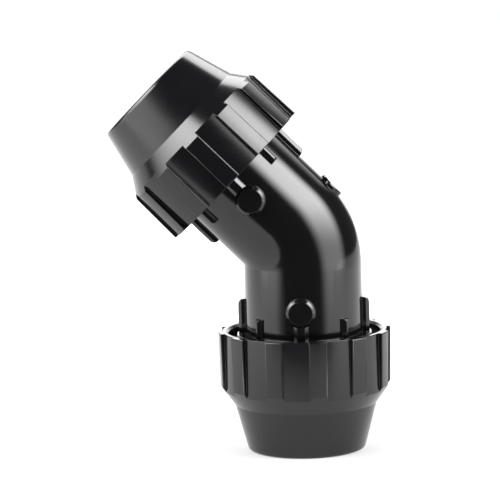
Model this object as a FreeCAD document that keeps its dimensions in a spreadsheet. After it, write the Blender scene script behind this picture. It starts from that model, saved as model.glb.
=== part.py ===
import FreeCAD, Part
import os
import Sketcher
from FreeCAD import Placement, Rotation, Vector

# A 45 degree compression elbow for 50 mm plastic water pipe, in millimetres.
#
# The elbow body is a bent tube with a threaded barrel at each end.  Each barrel takes, from the
# inside outwards, a rubber seal, a thrust bush and a split grip ring with teeth.  A ribbed nut
# screws over the barrel, and its cone closes the grip ring on the pipe.
#
# The origin is the middle of the shoulder that stops the lower pipe, and +Z is up: the object
# stands on the mouth of its lower nut, below the origin.  The bend lies in the XZ plane and turns
# the upper branch towards -X.
#
# A "station" is a distance outwards along a branch, from the end of the bend.  Each branch has a
# frame of its own: its Z runs outwards along the branch and its Y is the object's Y.

# Every driving dimension: its name in the sheet, its value and what it is.
DIMENSIONS = [
    ("pipe_radius", 25.0, "outside radius of the pipe that the elbow joins"),
    ("socket_clearance", 0.25, "pipe to socket, on the radius"),
    ("bend_angle", 45.0, "turn of the bend, degrees"),
    ("bend_radius", 30.0, "radius of the bend's centre line"),
    ("tube_radius", 28.5, "outside of the bent tube"),
    ("flow_radius", 22.5, "water way through the bend"),
    ("stop_station", 30.0, "shoulder that stops the pipe"),
    ("collar_station", 33.4, "where the barrel steps out from the tube"),
    ("seat_station", 52.0, "shoulder that the seal rests on"),
    ("barrel_end", 62.0, "end face of the barrel"),
    ("barrel_radius", 33.2, "outside of the barrel, under its thread"),
    ("barrel_bevel", 1.5, "bevel on the end of the barrel"),
    ("seat_radius", 29.3, "bore around the seal and the bush"),
    ("edge_rounding", 0.45, "rounding of the grip ribs' edges"),
    ("edge_bevel", 0.6, "bevels on the edges of the elbow body"),
    ("bar_bevel", 1.5, "bevels along the lugs, ribs and webs"),
    ("thread_pitch", 6.0, "right-hand thread, advance in one turn"),
    ("thread_depth", 2.7, "height of a thread ridge"),
    ("thread_root_width", 3.3, "width of the ridge where it leaves the wall"),
    ("thread_crest_width", 1.9, "width of the ridge at its top"),
    ("thread_gap", 0.4, "crest of one thread to wall of the other"),
    ("thread_sink", 0.3, "depth that a ridge is set into its wall"),
    ("barrel_thread_station", 40.0, "middle of the barrel's ridge where it starts"),
    ("barrel_thread_length", 16.5, "advance of the barrel's ridge"),
    ("nut_thread_length", 13.5, "advance of the nut's ridge"),
    ("boss_station", 19.6, "middle of the round bosses, front and back"),
    ("boss_radius", 7.0, "round boss at its foot"),
    ("boss_height", 3.3, "round boss above the tube"),
    ("boss_bevel", 1.2, "bevel around the flat of the boss"),
    ("web_width", 6.8, "web from the boss to the collar"),
    ("web_height", 2.3, "web above the tube"),
    ("lug_length", 17.2, "lug in the plane of the bend, from the collar"),
    ("lug_height", 3.3, "lug above the tube"),
    ("lug_width", 6.0, "lug across the branch"),
    ("lug_corner", 3.0, "rounding of the lug's far corner"),
    ("rib_length", 9.6, "short rib between lug and boss, from the collar"),
    ("rib_height", 2.4, "short rib above the tube"),
    ("rib_width", 4.0, "short rib across the branch"),
    ("rib_corner", 1.5, "rounding of the short rib's far corner"),
    ("gate_angle", 40.5, "place of the round gate pad along the bend, degrees"),
    ("gate_radius", 6.4, "round gate pad"),
    ("gate_height", 1.6, "round gate pad above the tube"),
    ("rim_station", 32.1, "open rim of a nut at its zero mark"),
    ("grip_radius", 42.0, "over the grip ribs at the rim"),
    ("grip_end_radius", 41.4, "over the grip ribs at the shoulder"),
    ("ring_radius", 39.9, "floor between the grip ribs"),
    ("ring_length", 26.6, "length of the grip ribs"),
    ("grip_rib_count", 12, "grip ribs around a nut"),
    ("grip_rib_angle", 12.0, "width of a grip rib, degrees"),
    ("shoulder_length", 9.3, "sloping shoulder between grip ribs and nose"),
    ("nose_length", 22.9, "conical nose"),
    ("nose_radius", 34.6, "nose at the shoulder"),
    ("nose_end_radius", 28.4, "nose at its end, before rounding"),
    ("nose_rounding", 2.2, "rounding of the nose's end"),
    ("rim_bore_radius", 37.0, "plain bore inside the rim"),
    ("rim_bore_length", 8.5, "end of that bore, from the rim"),
    ("rim_bevel", 1.2, "bevel of that bore at the rim"),
    ("thread_wall_end", 27.0, "end of the threaded bore, from the rim"),
    ("throat_radius", 32.0, "bore around the flange of the bush"),
    ("throat_start", 31.3, "start of that bore, from the rim"),
    ("cone_radius", 31.4, "wide end of the cone that closes the grip ring"),
    ("cone_start", 34.5, "wide end of the cone, from the rim"),
    ("cone_end_radius", 26.8, "narrow end of the cone"),
    ("cone_end", 54.0, "narrow end of the cone, from the rim"),
    ("mouth_radius", 25.5, "mouth that the pipe passes through"),
    ("mouth_bevel", 0.4, "bevel at the mouth"),
    ("seal_section", 2.0, "radius of the seal's round section"),
    ("bush_bore_radius", 25.4, "bore of the thrust bush"),
    ("bush_gap", 0.3, "seal to bush, and barrel to flange"),
    ("bush_bevel", 0.8, "bevels of the bush"),
    ("spigot_radius", 29.0, "end of the bush that enters the barrel"),
    ("flange_radius", 31.6, "flange of the bush"),
    ("flange_length", 4.0, "thickness of the flange"),
    ("grip_ring_station", 67.0, "inner face of the grip ring"),
    ("grip_ring_length", 15.0, "length of the grip ring"),
    ("grip_ring_gap", 0.36, "grip ring to the nut's cone, on the radius"),
    ("grip_ring_lip", 1.0, "plain lips at both ends of the toothed bore"),
    ("tooth_tip_radius", 25.25, "tips of the teeth"),
    ("tooth_foot_radius", 26.0, "feet of the teeth"),
    ("split_width", 5.0, "split that lets the grip ring close"),
]
TOOTH_COUNT = 5

# Expressions of the sheet that several pieces share.
NUT_LENGTH = "(Sizes.ring_length + Sizes.shoulder_length + Sizes.nose_length)"
SOCKET_RADIUS = "(Sizes.pipe_radius + Sizes.socket_clearance)"
THREAD_BORE = "(Sizes.barrel_radius + Sizes.thread_depth + Sizes.thread_gap)"
SHOULDER_SLOPE = "(Sizes.shoulder_length / (Sizes.grip_end_radius - Sizes.nose_radius))"
CONE_SLOPE = "((Sizes.cone_radius - Sizes.cone_end_radius) / (Sizes.cone_end - Sizes.cone_start))"
FLANGE_STATION = "(Sizes.barrel_end + Sizes.bush_gap)"
SPIGOT_LENGTH = "(Sizes.barrel_end - Sizes.seat_station - 2 * Sizes.seal_section)"

# The two branches: the turn of each branch's frame about Y in degrees, the place where the bend
# ends there, and how far its nut is turned from its zero mark in degrees.
BRANCHES = {
    "lower": {"turn": "180", "x": "0", "z": "0", "nut_turn": "-11.8"},
    "upper": {
        "turn": "(-Sizes.bend_angle)",
        "x": "(-Sizes.bend_radius * (1 - cos(Sizes.bend_angle)))",
        "z": "(Sizes.bend_radius * sin(Sizes.bend_angle))",
        "nut_turn": "3.5",
    },
}
# The bars along each branch: name, angle around the branch from the plane of the bend, height above
# the tube, width, length from the collar and the rounding of the far corner.
RIB = ("Sizes.rib_height", "Sizes.rib_width", "Sizes.rib_length", "Sizes.rib_corner")
WEB_LENGTH = "(Sizes.collar_station - Sizes.boss_station)"
BARS = [
    ("lugs", 0, "Sizes.lug_height", "Sizes.lug_width", "Sizes.lug_length", "Sizes.lug_corner"),
    ("rising_ribs", 45, *RIB),
    ("falling_ribs", -45, *RIB),
    ("webs", 90, "Sizes.web_height", "Sizes.web_width", WEB_LENGTH, None),
]
Y_AXIS = Vector(0, 1, 0)
Z_AXIS = Vector(0, 0, 1)
TOLERANCE = 0.01

document = FreeCAD.newDocument("compression_elbow")


def make_sheet():
    """Put the driving dimensions in a spreadsheet, one named cell each."""
    sheet = document.addObject("Spreadsheet::Sheet", "Sizes")
    for row, (name, size, meaning) in enumerate(DIMENSIONS, start=1):
        sheet.set(f"A{row}", meaning)
        sheet.set(f"B{row}", str(size))
        sheet.setAlias(f"B{row}", name)
    document.recompute()
    return sheet


SHEET = make_sheet()


def value(expression):
    """The present value of an expression of the sheet."""
    return float(SHEET.evalExpression(expression))


def new_body(label):
    body = document.addObject("PartDesign::Body", label)
    body.Label = label
    return body


def new_sketch(body, name, plane="XZ_Plane"):
    """An empty sketch on one of the body's own origin planes."""
    sketch = body.newObject("Sketcher::SketchObject", name)
    support = next(item for item in body.Origin.OriginFeatures if item.Role == plane)
    sketch.AttachmentSupport = (support, [""])
    sketch.MapMode = "FlatFace"
    return sketch


def along_branch_sketch(body, name, branch):
    """A sketch in the plane of the bend whose vertical axis runs outwards along a branch."""
    sketch = new_sketch(body, name)
    sketch.AttachmentOffset = Placement(Vector(), Rotation(Z_AXIS, 1))
    sketch.setExpression("AttachmentOffset.Base.x", branch["x"])
    sketch.setExpression("AttachmentOffset.Base.y", branch["z"])
    sketch.setExpression("AttachmentOffset.Rotation.Angle", f"-{branch['turn']}")
    return sketch


def across_branch_sketch(body, name, branch, station):
    """A sketch square to a branch at a station, facing outwards."""
    sketch = new_sketch(body, name, "XY_Plane")
    sketch.AttachmentOffset = Placement(Vector(), Rotation(Y_AXIS, 1))
    turn = branch["turn"]
    sketch.setExpression("AttachmentOffset.Base.x", f"{branch['x']} + ({station}) * sin({turn})")
    sketch.setExpression("AttachmentOffset.Base.z", f"{branch['z']} + ({station}) * cos({turn})")
    sketch.setExpression("AttachmentOffset.Rotation.Angle", turn)
    return sketch


def name_and_bind(sketch, index, name, expression):
    sketch.renameConstraint(index, name)
    sketch.setExpression(f"Constraints.{name}", expression)


def hold(sketch, geometry, point, across, along, name):
    """Fix a point's two distances from the sketch's origin and bind them to the sheet."""
    for kind, expression in (("DistanceX", across), ("DistanceY", along)):
        rule = Sketcher.Constraint(kind, -1, 1, geometry, point, value(expression))
        index = sketch.addConstraint(rule)
        name_and_bind(sketch, index, f"{name}_{kind[-1].lower()}", expression)


def draw_outline(sketch, corners):
    """A closed outline of straight lines through corners given as pairs of expressions."""
    points = [Vector(value(across), value(along), 0) for across, along in corners]
    first = sketch.GeometryCount
    count = len(points)
    for index, point in enumerate(points):
        sketch.addGeometry(Part.LineSegment(point, points[(index + 1) % count]), False)
    for index, (across, along) in enumerate(corners):
        line = first + index
        previous = first + (index - 1) % count
        sketch.addConstraint(Sketcher.Constraint("Coincident", previous, 2, line, 1))
        hold(sketch, line, 1, across, along, f"corner{line}")


def draw_circle(sketch, across, along, radius):
    """A circle about a centre given as a pair of expressions."""
    centre = Vector(value(across), value(along), 0)
    circle = sketch.addGeometry(Part.Circle(centre, Z_AXIS, value(radius)), False)
    index = sketch.addConstraint(Sketcher.Constraint("Radius", circle, value(radius)))
    name_and_bind(sketch, index, "radius", radius)
    hold(sketch, circle, 3, across, along, "centre")


def make_feature(body, kind, name, sketch):
    item = body.newObject(f"PartDesign::{kind}", name)
    item.Profile = sketch
    return item


def turn_sketch(body, name, sketch, kind="Revolution", angle="360"):
    """Turn a sketch about its own vertical axis, adding (Revolution) or cutting (Groove)."""
    item = make_feature(body, kind, name, sketch)
    item.ReferenceAxis = (sketch, ["V_Axis"])
    item.setExpression("Angle", angle)
    return item


def pad_both_ways(body, name, sketch, width):
    """Pad a sketch by a whole width, half to each side."""
    pad = make_feature(body, "Pad", name, sketch)
    pad.SideType = "Symmetric"
    pad.setExpression("Length", width)


def dress(body, kind, name, size, test):
    """Round (Fillet) or bevel (Chamfer) the edges of the body that pass a test."""
    document.recompute()
    base = body.Tip
    names = [f"Edge{number}" for number, edge in enumerate(base.Shape.Edges, start=1) if test(edge)]
    if not names:
        raise RuntimeError(f"{name}: no edge passes its test")
    item = body.newObject(f"PartDesign::{kind}", name)
    item.Base = (base, names)
    item.setExpression("Radius" if kind == "Fillet" else "Size", size)


def is_circle(edge, radius):
    return isinstance(edge.Curve, Part.Circle) and abs(edge.Curve.Radius - radius) < TOLERANCE


def middle_of(edge):
    return edge.valueAt((edge.FirstParameter + edge.LastParameter) / 2)


def add_thread(body, name, sketch, wall, crest, sink, start, length):
    """A right-hand ridge that winds outwards about the sketch's vertical axis."""
    half_root = "Sizes.thread_root_width / 2"
    half_crest = "Sizes.thread_crest_width / 2"
    draw_outline(sketch, [
        (f"{wall} + {sink}", f"{start} - {half_root}"),
        (wall, f"{start} - {half_root}"),
        (crest, f"{start} - {half_crest}"),
        (crest, f"{start} + {half_crest}"),
        (wall, f"{start} + {half_root}"),
        (f"{wall} + {sink}", f"{start} + {half_root}"),
    ])
    ridge = make_feature(body, "AdditiveHelix", name, sketch)
    ridge.ReferenceAxis = (sketch, ["V_Axis"])
    ridge.Mode = "pitch-height-angle"
    ridge.setExpression("Pitch", "Sizes.thread_pitch")
    ridge.setExpression("Height", length)


def turn_bend(body, name, kind, radius):
    """A round section turned through the bend, about the vertical axis of its sketch."""
    sketch = new_sketch(body, f"{name}_section", "XY_Plane")
    sketch.setExpression("AttachmentOffset.Base.x", "-Sizes.bend_radius")
    draw_circle(sketch, "Sizes.bend_radius", "0", radius)
    item = turn_sketch(body, name, sketch, kind, "Sizes.bend_angle")
    item.Reversed = True


def add_barrel(body, end, branch):
    """The straight run of tube and the barrel that steps out from it."""
    sketch = along_branch_sketch(body, f"{end}_barrel_section", branch)
    draw_outline(sketch, [
        ("0", "0"),
        ("Sizes.tube_radius", "0"),
        ("Sizes.tube_radius", "Sizes.collar_station"),
        ("Sizes.barrel_radius - Sizes.edge_bevel", "Sizes.collar_station"),
        ("Sizes.barrel_radius", "Sizes.collar_station + Sizes.edge_bevel"),
        ("Sizes.barrel_radius", "Sizes.barrel_end - Sizes.barrel_bevel"),
        ("Sizes.barrel_radius - Sizes.barrel_bevel", "Sizes.barrel_end"),
        ("0", "Sizes.barrel_end"),
    ])
    turn_sketch(body, f"{end}_barrel", sketch)


def add_bosses(body, end, branch):
    """A round boss with a bevelled edge, front and back."""
    boss = along_branch_sketch(body, f"{end}_boss_section", branch)
    draw_circle(boss, "0", "Sizes.boss_station", "Sizes.boss_radius")
    pad_both_ways(body, f"{end}_bosses", boss, "2 * (Sizes.tube_radius + Sizes.boss_height)")
    radius = value("Sizes.boss_radius")
    face = value("Sizes.tube_radius + Sizes.boss_height")

    def is_rim(edge):
        return is_circle(edge, radius) and abs(abs(edge.Curve.Center.y) - face) < TOLERANCE

    dress(body, "Chamfer", f"{end}_boss_bevels", "Sizes.boss_bevel", is_rim)


def add_bars(body, end, branch):
    """The bars that run along a branch to its collar, standing out on opposite sides of it."""
    for name, angle, height, width, length, corner in BARS:
        reach = f"(Sizes.tube_radius + {height})"
        half = f"({width} / 2)"
        far = f"(Sizes.collar_station - {length})"
        sketch = across_branch_sketch(body, f"{end}_{name}_section", branch, far)
        outline = [
            (reach, f"({half} - Sizes.bar_bevel)"),
            (f"({reach} - Sizes.bar_bevel)", half),
            (f"-({reach} - Sizes.bar_bevel)", half),
            (f"-{reach}", f"({half} - Sizes.bar_bevel)"),
        ]
        outline += [(f"-{across}", f"-{along}") for across, along in outline]
        cosine = f"cos({angle})"
        sine = f"sin({angle})"
        draw_outline(sketch, [
            (f"{across} * {cosine} - {along} * {sine}", f"{across} * {sine} + {along} * {cosine}")
            for across, along in outline
        ])
        pad = make_feature(body, "Pad", f"{end}_{name}", sketch)
        pad.setExpression("Length", f"{length} + Sizes.edge_bevel")
        if corner:
            round_far_corners(body, f"{end}_{name}_corners", sketch, value(reach), corner)


def round_far_corners(body, name, sketch, reach, radius):
    """Round the two corners where the bar ends, away from the collar."""
    document.recompute()
    to_sketch = sketch.Placement.inverse()

    def is_far_corner(edge):
        place = to_sketch.multVec(middle_of(edge))
        at_reach = abs(Vector(place.x, place.y, 0).Length - reach) < TOLERANCE
        return isinstance(edge.Curve, Part.Line) and at_reach and abs(place.z) < TOLERANCE

    dress(body, "Fillet", name, radius, is_far_corner)


def add_gate_pad(body):
    """The low round pad on the outside of the bend, where the mould was filled."""
    sketch = new_sketch(body, "gate_pad_section")
    sketch.AttachmentOffset = Placement(Vector(), Rotation(Z_AXIS, -1))
    sketch.setExpression("AttachmentOffset.Base.x", "-Sizes.bend_radius")
    sketch.setExpression("AttachmentOffset.Rotation.Angle", "Sizes.gate_angle - 90")
    foot = "(Sizes.bend_radius + Sizes.tube_radius / 2)"
    top = "(Sizes.bend_radius + Sizes.tube_radius + Sizes.gate_height)"
    draw_outline(sketch, [
        ("0", foot),
        ("Sizes.gate_radius", foot),
        ("Sizes.gate_radius", f"{top} - Sizes.edge_bevel"),
        ("Sizes.gate_radius - Sizes.edge_bevel", top),
        ("0", top),
    ])
    turn_sketch(body, "gate_pad", sketch)


def bore_branch(body, end, branch):
    """The water way, the pipe socket and the seat of seal and bush, as one turned cut."""
    sketch = along_branch_sketch(body, f"{end}_bore_section", branch)
    draw_outline(sketch, [
        ("0", "0"),
        ("Sizes.flow_radius", "0"),
        ("Sizes.flow_radius", "Sizes.stop_station"),
        (SOCKET_RADIUS, "Sizes.stop_station"),
        (SOCKET_RADIUS, "Sizes.seat_station"),
        ("Sizes.seat_radius", "Sizes.seat_station"),
        ("Sizes.seat_radius", "Sizes.barrel_end"),
        ("0", "Sizes.barrel_end"),
    ])
    turn_sketch(body, f"{end}_bore", sketch, "Groove")


def make_elbow_body():
    """The bent tube with its two threaded barrels, bosses, lugs, ribs and gate pad."""
    body = new_body("elbow_body")
    turn_bend(body, "bend", "Revolution", "Sizes.tube_radius")
    for end, branch in BRANCHES.items():
        add_barrel(body, end, branch)
        add_bosses(body, end, branch)
        add_bars(body, end, branch)
    add_gate_pad(body)
    turn_bend(body, "water_way", "Groove", "Sizes.flow_radius")
    for end, branch in BRANCHES.items():
        bore_branch(body, end, branch)
    for end, branch in BRANCHES.items():
        sketch = along_branch_sketch(body, f"{end}_thread_section", branch)
        add_thread(
            body, f"{end}_thread", sketch,
            wall="Sizes.barrel_radius",
            crest="Sizes.barrel_radius + Sizes.thread_depth",
            sink="-Sizes.thread_sink",
            start="Sizes.barrel_thread_station",
            length="Sizes.barrel_thread_length",
        )
    body.setExpression("Placement.Base.z", "Sizes.stop_station")
    return body


def branch_placement(branch, station, turn="0"):
    """Where a piece sits whose own Z runs outwards and whose origin is at a station."""
    frame = Rotation(Y_AXIS, value(branch["turn"]))
    bend_end = Vector(value(branch["x"]), 0, value(branch["z"]) + value("Sizes.stop_station"))
    place = bend_end + frame.multVec(Z_AXIS) * value(station)
    return Placement(place, frame * Rotation(Z_AXIS, value(turn)))


def make_nut(end, branch):
    """A ribbed compression nut, its origin at the middle of its open rim."""
    body = new_body(f"{end}_nut")
    shell = new_sketch(body, f"{end}_nut_section")
    draw_outline(shell, [
        ("Sizes.rim_bore_radius + Sizes.rim_bevel", "0"),
        ("Sizes.ring_radius", "0"),
        ("Sizes.ring_radius",
         f"Sizes.ring_length + (Sizes.grip_end_radius - Sizes.ring_radius) * {SHOULDER_SLOPE}"),
        ("Sizes.nose_radius", "Sizes.ring_length + Sizes.shoulder_length"),
        ("Sizes.nose_end_radius", NUT_LENGTH),
        ("Sizes.mouth_radius + Sizes.mouth_bevel", NUT_LENGTH),
        ("Sizes.mouth_radius", f"{NUT_LENGTH} - Sizes.mouth_bevel"),
        ("Sizes.mouth_radius", "Sizes.cone_end"),
        ("Sizes.cone_end_radius", "Sizes.cone_end"),
        ("Sizes.cone_radius", "Sizes.cone_start"),
        ("Sizes.throat_radius", "Sizes.cone_start"),
        ("Sizes.throat_radius", "Sizes.throat_start"),
        (THREAD_BORE, "Sizes.thread_wall_end"),
        (THREAD_BORE, f"Sizes.rim_bore_length + Sizes.rim_bore_radius - {THREAD_BORE}"),
        ("Sizes.rim_bore_radius", "Sizes.rim_bore_length"),
        ("Sizes.rim_bore_radius", "Sizes.rim_bevel"),
    ])
    turn_sketch(body, f"{end}_nut_shell", shell)
    nose_end = value("Sizes.nose_end_radius")
    dress(body, "Fillet", f"{end}_nose_rounding", "Sizes.nose_rounding",
          lambda edge: is_circle(edge, nose_end))
    add_grip_ribs(body, end, shell)
    thread_section = new_sketch(body, f"{end}_nut_thread_section")
    add_thread(
        body, f"{end}_nut_thread", thread_section,
        wall=THREAD_BORE,
        crest="Sizes.barrel_radius + Sizes.thread_gap",
        sink="Sizes.thread_sink",
        start="(Sizes.barrel_thread_station + Sizes.thread_pitch / 2 - Sizes.rim_station)",
        length="Sizes.nut_thread_length",
    )
    advance = f"Sizes.thread_pitch * {branch['nut_turn']} / 360"
    body.Placement = branch_placement(branch, f"Sizes.rim_station + {advance}", branch["nut_turn"])
    return body


def add_grip_ribs(body, end, shell):
    """One grip rib turned through its width, repeated around the nut, with rounded edges."""
    rib = new_sketch(body, f"{end}_grip_rib_section")
    foot = "(Sizes.ring_radius - Sizes.edge_rounding)"
    draw_outline(rib, [
        (foot, "0"),
        ("Sizes.grip_radius", "0"),
        ("Sizes.grip_end_radius", "Sizes.ring_length"),
        (foot, f"Sizes.ring_length + (Sizes.grip_end_radius - {foot}) * {SHOULDER_SLOPE}"),
    ])
    first = turn_sketch(body, f"{end}_grip_rib", rib, angle="Sizes.grip_rib_angle")
    first.Midplane = True
    ribs = body.newObject("PartDesign::PolarPattern", f"{end}_grip_ribs")
    ribs.Originals = [first]
    ribs.Axis = (shell, ["V_Axis"])
    ribs.Angle = 360
    ribs.setExpression("Occurrences", "Sizes.grip_rib_count")
    body.Tip = ribs
    lowest_grip = value("Sizes.grip_end_radius") - TOLERANCE

    def is_rib_edge(edge):
        ends = [vertex.Point for vertex in edge.Vertexes]
        return all(Vector(point.x, point.y, 0).Length > lowest_grip for point in ends)

    dress(body, "Fillet", f"{end}_grip_rib_edges", "Sizes.edge_rounding", is_rib_edge)


def make_grip_ring(end, branch):
    """The split ring whose teeth bite the pipe, its origin at its inner face."""
    body = new_body(f"{end}_grip_ring")
    section = new_sketch(body, f"{end}_grip_ring_section")
    start = "(Sizes.grip_ring_station - Sizes.rim_station)"
    outside = f"(Sizes.cone_radius - ({start} - Sizes.cone_start) * {CONE_SLOPE} - Sizes.grip_ring_gap)"
    outside_end = f"({outside} - Sizes.grip_ring_length * {CONE_SLOPE})"
    pitch = f"((Sizes.grip_ring_length - 2 * Sizes.grip_ring_lip) / {TOOTH_COUNT})"
    corners = [
        ("Sizes.tooth_foot_radius", "Sizes.grip_ring_length"),
        (outside_end, "Sizes.grip_ring_length"),
        (outside, "0"),
        ("Sizes.tooth_foot_radius", "0"),
    ]
    for tooth in range(TOOTH_COUNT):
        foot = f"Sizes.grip_ring_lip + {tooth} * {pitch}"
        corners.append(("Sizes.tooth_foot_radius", foot))
        corners.append(("Sizes.tooth_tip_radius", foot))
    corners.append(("Sizes.tooth_foot_radius", "Sizes.grip_ring_length - Sizes.grip_ring_lip"))
    draw_outline(section, corners)
    turn_sketch(body, f"{end}_toothed_ring", section)
    split = new_sketch(body, f"{end}_split_section", "XY_Plane")
    half = "Sizes.split_width / 2"
    draw_outline(split, [
        ("0", f"-{half}"),
        ("Sizes.cone_radius", f"-{half}"),
        ("Sizes.cone_radius", half),
        ("0", half),
    ])
    cut = make_feature(body, "Pocket", f"{end}_split", split)
    cut.setExpression("Length", "Sizes.grip_ring_length")
    cut.Reversed = True
    body.Placement = branch_placement(branch, "Sizes.grip_ring_station")
    return body


def make_thrust_bush(end, branch):
    """The bush that presses the seal home, its origin at the inner face of its flange."""
    body = new_body(f"{end}_thrust_bush")
    section = new_sketch(body, f"{end}_bush_section")
    tip = f"({SPIGOT_LENGTH})"
    draw_outline(section, [
        ("Sizes.bush_bore_radius", f"-{tip}"),
        ("Sizes.spigot_radius - Sizes.bush_bevel", f"-{tip}"),
        ("Sizes.spigot_radius", f"-{tip} + Sizes.bush_bevel"),
        ("Sizes.spigot_radius", "0"),
        ("Sizes.flange_radius", "0"),
        ("Sizes.flange_radius", "Sizes.flange_length - Sizes.bush_bevel"),
        ("Sizes.flange_radius - Sizes.bush_bevel", "Sizes.flange_length"),
        ("Sizes.bush_bore_radius + Sizes.bush_bevel", "Sizes.flange_length"),
        ("Sizes.bush_bore_radius", "Sizes.flange_length - Sizes.bush_bevel"),
    ])
    turn_sketch(body, f"{end}_bush", section)
    body.Placement = branch_placement(branch, FLANGE_STATION)
    return body


def make_seal(end, branch):
    """The rubber ring in its seat, touching the seat's bore and shoulder."""
    seal = document.addObject("Part::Torus", f"{end}_seal")
    seal.Label = f"{end}_seal"
    seal.setExpression("Radius1", "Sizes.seat_radius - Sizes.seal_section")
    seal.setExpression("Radius2", "Sizes.seal_section")
    seal.Placement = branch_placement(branch, "Sizes.seat_station + Sizes.seal_section")
    return seal


def check_document(pieces):
    """Stop if a feature failed or a piece is not one valid solid."""
    for item in document.Objects:
        if {"Invalid", "Error"} & set(item.State):
            raise RuntimeError(f"{item.Name}: {item.State}")
    for piece in pieces:
        shape = piece.Shape
        if shape.isNull() or not shape.isValid() or len(shape.Solids) != 1:
            raise RuntimeError(f"{piece.Label}: not one valid solid")


def main():
    pieces = [make_elbow_body()]
    for end, branch in BRANCHES.items():
        for make_piece in (make_nut, make_grip_ring, make_thrust_bush, make_seal):
            pieces.append(make_piece(end, branch))
    document.recompute()
    check_document(pieces)
    os.makedirs("parts", exist_ok=True)
    for piece in pieces:
        piece.Shape.exportStep(f"parts/{piece.Label}.step")
        print(f"{piece.Label}: {piece.Shape.Volume:.0f} mm3")


main()
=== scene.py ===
import bpy
import math
from mathutils import Euler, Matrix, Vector


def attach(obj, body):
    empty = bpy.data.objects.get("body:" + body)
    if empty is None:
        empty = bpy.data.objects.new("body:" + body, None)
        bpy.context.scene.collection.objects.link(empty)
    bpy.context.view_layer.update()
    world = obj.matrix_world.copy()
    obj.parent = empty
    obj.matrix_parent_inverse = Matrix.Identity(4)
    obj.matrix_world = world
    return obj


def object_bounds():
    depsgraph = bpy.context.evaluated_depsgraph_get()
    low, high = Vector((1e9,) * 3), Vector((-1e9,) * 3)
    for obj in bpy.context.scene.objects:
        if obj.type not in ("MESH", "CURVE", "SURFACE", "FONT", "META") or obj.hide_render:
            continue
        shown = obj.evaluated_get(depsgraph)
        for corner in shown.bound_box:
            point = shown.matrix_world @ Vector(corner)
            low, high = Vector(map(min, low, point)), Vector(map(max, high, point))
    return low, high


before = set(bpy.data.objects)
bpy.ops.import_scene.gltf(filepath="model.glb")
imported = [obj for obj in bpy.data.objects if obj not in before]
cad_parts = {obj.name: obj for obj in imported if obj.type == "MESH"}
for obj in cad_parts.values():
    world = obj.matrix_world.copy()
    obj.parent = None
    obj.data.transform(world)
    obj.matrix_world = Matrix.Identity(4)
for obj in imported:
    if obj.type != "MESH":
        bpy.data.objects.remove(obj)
CAD_LOW, CAD_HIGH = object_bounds()

# A black compression elbow on a white table, in metres and degrees.  The floor is pale and the
# background white.  The glossy plastic mirrors the softboxes at both sides and behind, the table
# around the fitting and the dim room.

WHITE = (1, 1, 1, 1)

# The camera: where it stands as seen from the lower end of the bend, and how it is held.
CAMERA_PIVOT = Vector((0.0, 0.0, 0.030))
CAMERA_AZIMUTH = 3.05
CAMERA_ELEVATION = 8.41
CAMERA_DISTANCE = 1.4417
CAMERA_ROLL = -1.56
CAMERA_LENS = 214.0
SENSOR_WIDTH = 36.0

# The table: its extent, its surface, and its glow, which is painted light: it grows from a darker
# patch under the object, a painted shadow.
TABLE_FRONT = -0.26
TABLE_BACK = 3.0
TABLE_HALF_WIDTH = 2.5
TABLE_COLOUR = (0.3, 0.3, 0.3, 1)
TABLE_ROUGHNESS = 0.9
TABLE_SPECULAR = 0.1
TABLE_SHADE_RADIUS = 0.08
TABLE_WHITE_RADIUS = 0.6
TABLE_GLOW_NEAR = 0.42
TABLE_GLOW_FAR = 1.05

# The room that lights the object from all around.
ROOM_COLOUR = (0.09, 0.09, 0.095, 1)

# A softbox: the parts of its width and height over which its edges fade, and the part of its
# height over which it grows brighter.
SIDE_FADE = 0.34
TOP_FADE = 0.15
RISE_START = 0.3
RISE_END = 0.75

# Each softbox: name, azimuth, elevation, distance, width, height, radiance at its foot and its top.
SOFTBOXES = [
    ("right", 66, 20, 0.60, 0.80, 0.86, 3.6, 15.0),
    ("left", -64, 22, 0.50, 0.76, 0.80, 3.2, 13.0),
    ("back_top", 180, 46, 0.90, 1.60, 0.52, 5.5, 7.5),
    ("backdrop", 183, 12, 1.10, 1.30, 0.52, 2.8, 3.0),
]

# The mottle: slow changes of gloss, from a fraction to a multiple of the roughness.
MOTTLE_SCALE = 60
MOTTLE_DETAIL = 4
MOTTLE_LOW, MOTTLE_HIGH = 0.3, 0.7
GLOSSIEST, DULLEST = 0.85, 1.2

# Worn edges, lighter partly as rubbed wear and partly as a painted highlight along them: the width
# they are rounded over, and how far the rounded normal turns from the surface's own (as a cosine)
# where the lighter tint starts and where it is complete.
EDGE_RADIUS = 0.0004
EDGE_SAMPLES = 6
WEAR_AND_HIGHLIGHT_START = 0.97
WEAR_AND_HIGHLIGHT_FULL = 0.75

# The grain: fine bumps all over the plastic.
GRAIN_SCALE = 1400
GRAIN_DETAIL = 2
GRAIN_HEIGHT = 0.0001
PLASTIC_IOR = 1.5

# Each kind of piece: material, colour, colour of worn edges (rubbed wear and painted highlight),
# roughness and strength of the grain.
PLASTICS = {
    "elbow_body": ("body_black", (0.002, 0.002, 0.0022), (0.012, 0.012, 0.0125), 0.12, 0.05),
    "nut": ("nut_black", (0.002, 0.002, 0.0024), (0.014, 0.014, 0.0145), 0.18, 0.12),
    "grip_ring": ("acetal_white", (0.78, 0.76, 0.70), (0.85, 0.84, 0.8), 0.4, 0.1),
    "thrust_bush": ("bush_black", (0.01, 0.01, 0.011), (0.03, 0.03, 0.03), 0.4, 0.15),
    "seal": ("seal_rubber", (0.008, 0.008, 0.008), (0.01, 0.01, 0.01), 0.6, 0.3),
}


# ---------------------------------------------------------------------------- stage

def direction(azimuth, elevation):
    """The unit vector towards an azimuth (0 is -Y, 90 is +X) and an elevation, in degrees."""
    turn, rise = math.radians(azimuth), math.radians(elevation)
    return Vector((math.sin(turn) * math.cos(rise), -math.cos(turn) * math.cos(rise), math.sin(rise)))


def add_object(name, data):
    thing = bpy.data.objects.new(name, data)
    bpy.context.scene.collection.objects.link(thing)
    return thing


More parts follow.
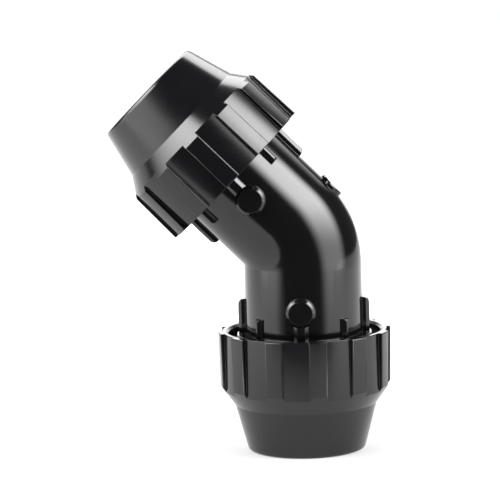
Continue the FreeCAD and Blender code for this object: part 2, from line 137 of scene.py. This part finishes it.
def add_map_range(tree, source, from_range, to_range=(0, 1), smooth=False):
    """A node that maps a socket's value from one range to another; returns its output."""
    node = tree.nodes.new("ShaderNodeMapRange")
    if smooth:
        node.interpolation_type = "SMOOTHSTEP"
    node.inputs["From Min"].default_value, node.inputs["From Max"].default_value = from_range
    node.inputs["To Min"].default_value, node.inputs["To Max"].default_value = to_range
    tree.links.new(source, node.inputs["Value"])
    return node.outputs["Result"]


def add_product(tree, first, second):
    node = tree.nodes.new("ShaderNodeMath")
    node.operation = "MULTIPLY"
    tree.links.new(first, node.inputs[0])
    tree.links.new(second, node.inputs[1])
    return node.outputs["Value"]


def add_camera():
    data = bpy.data.cameras.new("camera")
    camera = add_object("camera", data)
    camera.location = CAMERA_PIVOT + direction(CAMERA_AZIMUTH, CAMERA_ELEVATION) * CAMERA_DISTANCE
    aim = (CAD_LOW + CAD_HIGH) / 2
    look = (aim - camera.location).to_track_quat("-Z", "Y")
    camera.rotation_mode = "QUATERNION"
    camera.rotation_quaternion = look @ Euler((0, 0, math.radians(CAMERA_ROLL))).to_quaternion()
    data.lens = CAMERA_LENS
    data.sensor_width = SENSOR_WIDTH
    bpy.context.scene.camera = camera


def add_softbox(name, azimuth, elevation, distance, width, height, low, high):
    """A rectangular light that faces the object and shows in reflections but not to the camera.
    Its radiance rises from low at its foot to high at its top and fades towards its edges."""
    data = bpy.data.lights.new(name, "AREA")
    data.shape = "RECTANGLE"
    data.size = width
    data.size_y = height
    data.energy = math.pi * width * height
    data.use_nodes = True
    tree = data.node_tree
    place = tree.nodes.new("ShaderNodeNewGeometry")
    across = tree.nodes.new("ShaderNodeSeparateXYZ")
    tree.links.new(place.outputs["Parametric"], across.inputs["Vector"])
    edges = []
    for side, margin in (("X", SIDE_FADE), ("Y", TOP_FADE)):
        # The distance to the nearer edge, as a part of the width or height.
        fold = tree.nodes.new("ShaderNodeMath")
        fold.operation = "PINGPONG"
        fold.inputs[1].default_value = 0.5
        tree.links.new(across.outputs[side], fold.inputs[0])
        edges.append(add_map_range(tree, fold.outputs["Value"], (0, margin), smooth=True))
    rise = add_map_range(tree, across.outputs["Y"], (RISE_START, RISE_END), (low, high), smooth=True)
    strength = add_product(tree, add_product(tree, *edges), rise)
    tree.links.new(strength, tree.nodes["Emission"].inputs["Strength"])
    light = add_object(name, data)
    outwards = direction(azimuth, elevation)
    light.location = (CAD_LOW + CAD_HIGH) / 2 + outwards * distance
    light.rotation_mode = "QUATERNION"
    light.rotation_quaternion = outwards.to_track_quat("Z", "Y")
    light.visible_camera = False


def add_table():
    floor = CAD_LOW.z
    corners = [
        (-TABLE_HALF_WIDTH, TABLE_FRONT, floor),
        (TABLE_HALF_WIDTH, TABLE_FRONT, floor),
        (TABLE_HALF_WIDTH, TABLE_BACK, floor),
        (-TABLE_HALF_WIDTH, TABLE_BACK, floor),
    ]
    mesh = bpy.data.meshes.new("table")
    mesh.from_pydata(corners, [], [(0, 1, 2, 3)])
    table = add_object("table", mesh)
    material, tree, shader = new_material("table_white")
    shader.inputs["Base Color"].default_value = TABLE_COLOUR
    shader.inputs["Roughness"].default_value = TABLE_ROUGHNESS
    shader.inputs["Specular IOR Level"].default_value = TABLE_SPECULAR
    # The table glows white with painted light. The glow is dimmed near the object into a painted
    # shadow and is brightest further out.
    shader.inputs["Emission Color"].default_value = WHITE
    place = tree.nodes.new("ShaderNodeTexCoord")
    spread = tree.nodes.new("ShaderNodeVectorMath")
    spread.operation = "LENGTH"
    tree.links.new(place.outputs["Object"], spread.inputs[0])
    glow = add_map_range(
        tree,
        spread.outputs["Value"],
        (TABLE_SHADE_RADIUS, TABLE_WHITE_RADIUS),
        (TABLE_GLOW_NEAR, TABLE_GLOW_FAR),
        smooth=True,
    )
    tree.links.new(glow, shader.inputs["Emission Strength"])
    mesh.materials.append(material)
    # The object stands on its lower nut, which travels with this ring.
    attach(table, "lower_ring")


def add_world():
    """White behind the object for the camera, a dim room for everything else."""
    world = bpy.data.worlds.new("studio")
    bpy.context.scene.world = world
    world.use_nodes = True
    tree = world.node_tree
    tree.nodes.clear()
    rays = tree.nodes.new("ShaderNodeLightPath")
    room = tree.nodes.new("ShaderNodeBackground")
    room.inputs["Color"].default_value = ROOM_COLOUR
    white = tree.nodes.new("ShaderNodeBackground")
    white.inputs["Color"].default_value = WHITE
    pick = tree.nodes.new("ShaderNodeMixShader")
    output = tree.nodes.new("ShaderNodeOutputWorld")
    tree.links.new(rays.outputs["Is Camera Ray"], pick.inputs["Fac"])
    tree.links.new(room.outputs["Background"], pick.inputs[1])
    tree.links.new(white.outputs["Background"], pick.inputs[2])
    tree.links.new(pick.outputs["Shader"], output.inputs["Surface"])


# ---------------------------------------------------------------------------- materials

def new_material(name):
    material = bpy.data.materials.new(name)
    material.use_nodes = True
    tree = material.node_tree
    return material, tree, tree.nodes["Principled BSDF"]


def add_noise(tree, place, scale, detail):
    """A noise node over an object's own coordinates; returns its output."""
    noise = tree.nodes.new("ShaderNodeTexNoise")
    noise.inputs["Scale"].default_value = scale
    noise.inputs["Detail"].default_value = detail
    tree.links.new(place.outputs["Object"], noise.inputs["Vector"])
    return noise.outputs["Fac"]


def add_plastic(name, colour, wear_and_highlight_colour, roughness, grain):
    """Moulded plastic: mottled gloss, faint grain, and edges a little lighter, partly rubbed wear and
    partly a painted highlight.
    """
    material, tree, shader = new_material(name)
    place = tree.nodes.new("ShaderNodeTexCoord")
    mottle = add_noise(tree, place, MOTTLE_SCALE, MOTTLE_DETAIL)
    gloss_range = (roughness * GLOSSIEST, roughness * DULLEST)
    gloss = add_map_range(tree, mottle, (MOTTLE_LOW, MOTTLE_HIGH), gloss_range)
    tree.links.new(gloss, shader.inputs["Roughness"])

    soft_edges = tree.nodes.new("ShaderNodeBevel")
    soft_edges.samples = EDGE_SAMPLES
    soft_edges.inputs["Radius"].default_value = EDGE_RADIUS
    geometry = tree.nodes.new("ShaderNodeNewGeometry")
    turn = tree.nodes.new("ShaderNodeVectorMath")
    turn.operation = "DOT_PRODUCT"
    tree.links.new(soft_edges.outputs["Normal"], turn.inputs[0])
    tree.links.new(geometry.outputs["Normal"], turn.inputs[1])
    # The edges get a lighter colour: partly rubbed wear, partly a painted highlight along them.
    tint = tree.nodes.new("ShaderNodeMix")
    tint.data_type = "RGBA"
    tint.inputs["A"].default_value = (*colour, 1)
    tint.inputs["B"].default_value = (*wear_and_highlight_colour, 1)
    wear_and_highlight = add_map_range(tree, turn.outputs["Value"], (WEAR_AND_HIGHLIGHT_START, WEAR_AND_HIGHLIGHT_FULL))
    tree.links.new(wear_and_highlight, tint.inputs["Factor"])
    tree.links.new(tint.outputs["Result"], shader.inputs["Base Color"])

    bump = tree.nodes.new("ShaderNodeBump")
    bump.inputs["Strength"].default_value = grain
    bump.inputs["Distance"].default_value = GRAIN_HEIGHT
    tree.links.new(add_noise(tree, place, GRAIN_SCALE, GRAIN_DETAIL), bump.inputs["Height"])
    tree.links.new(soft_edges.outputs["Normal"], bump.inputs["Normal"])
    tree.links.new(bump.outputs["Normal"], shader.inputs["Normal"])
    shader.inputs["IOR"].default_value = PLASTIC_IOR
    return material


def paint_nodes():
    """Give each node its kind's plastic; a node's kind is its name, or its name after the end's."""
    materials = {kind: add_plastic(*plastic) for kind, plastic in PLASTICS.items()}
    for name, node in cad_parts.items():
        kind = name if name in materials else name.split("_", 1)[1]
        node.data.materials.clear()
        node.data.materials.append(materials[kind])


# ---------------------------------------------------------------------------- the scene

add_camera()
add_world()
add_table()
paint_nodes()
for softbox in SOFTBOXES:
    add_softbox(*softbox)
bpy.context.scene.view_settings.view_transform = "Standard"
